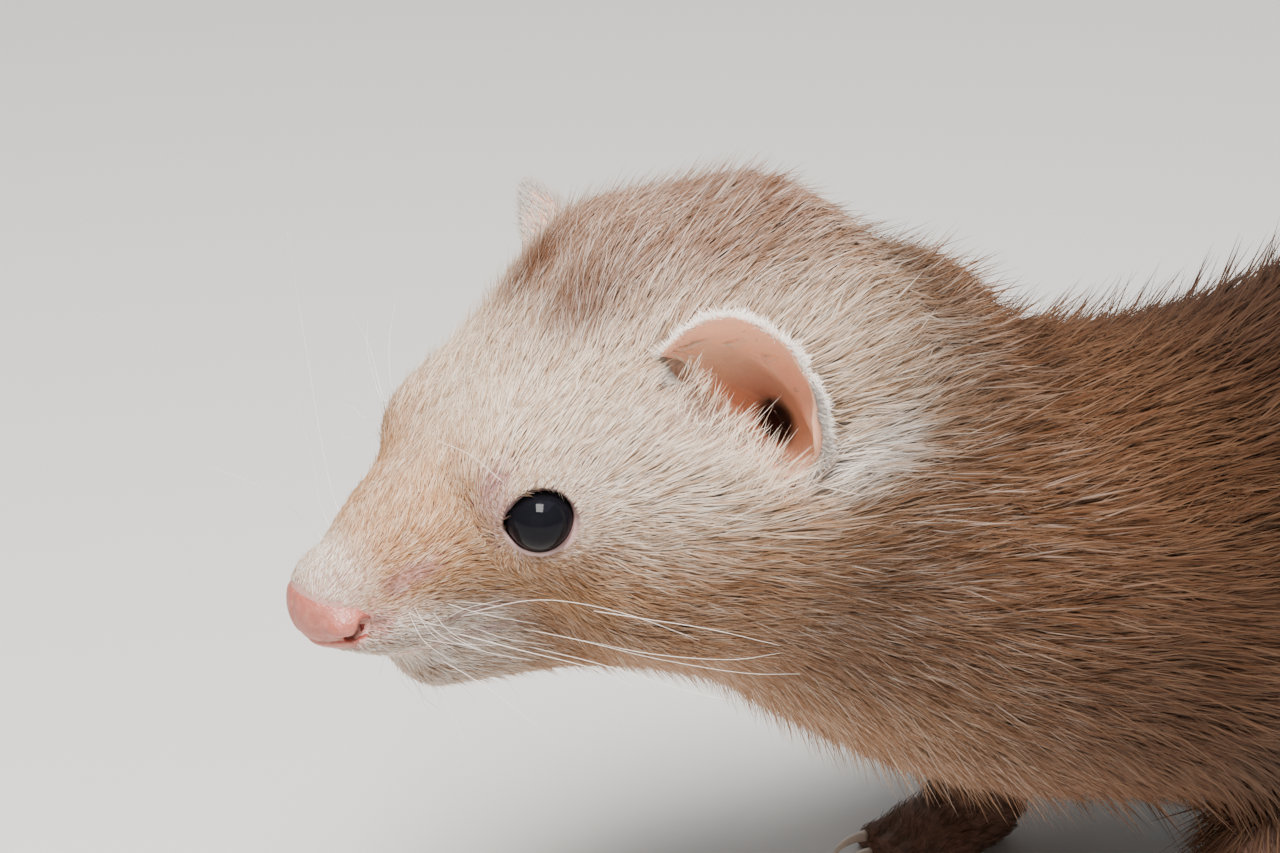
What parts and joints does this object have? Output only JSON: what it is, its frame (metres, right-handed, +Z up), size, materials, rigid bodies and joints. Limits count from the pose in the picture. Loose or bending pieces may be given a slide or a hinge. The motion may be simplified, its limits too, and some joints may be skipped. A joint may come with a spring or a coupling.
{
  "type": "ferret",
  "caption": "Life-size still model of a young cream ferret, creeping low with its head raised and its ears open.",
  "frame": {"origin": "on the floor, under the middle of the model's bounding box", "axes": "+X towards the nose, +Y to the animal's left, +Z up"},
  "size_m": [0.4556, 0.0732, 0.1183],
  "materials": {
    "coat": "dense fur, tan to brown on the body",
    "face": "short cream fur over pale pink skin",
    "paw": "short fur over pink pads",
    "nose": "bare moist pink skin",
    "ear": "thin peach-pink skin with a white furred rim",
    "eye": "wet, glossy, nearly black",
    "claw": "translucent pale horn"
  },
  "bodies": {
    "root": {"head": "face", "nose": "nose", "left_ear": "ear", "left_eye": "eye", "right_ear": "ear", "right_eye": "eye", "neck": "coat", "chest": "coat", "belly": "coat", "rump": "coat", "tail_root": "coat", "tail_end": "coat", "front_left_leg": "coat", "front_left_claw_1": "claw", "front_left_claw_2": "claw", "front_left_claw_3": "claw", "front_left_claw_4": "claw", "front_left_paw": "paw", "hind_left_leg": "coat", "hind_left_claw_1": "claw", "hind_left_claw_2": "claw", "hind_left_claw_3": "claw", "hind_left_claw_4": "claw", "hind_left_paw": "paw", "front_right_leg": "coat", "front_right_claw_1": "claw", "front_right_claw_2": "claw", "front_right_claw_3": "claw", "front_right_claw_4": "claw", "front_right_paw": "paw", "hind_right_leg": "coat", "hind_right_claw_1": "claw", "hind_right_claw_2": "claw", "hind_right_claw_3": "claw", "hind_right_claw_4": "claw", "hind_right_paw": "paw"}
  },
  "joints": []
}
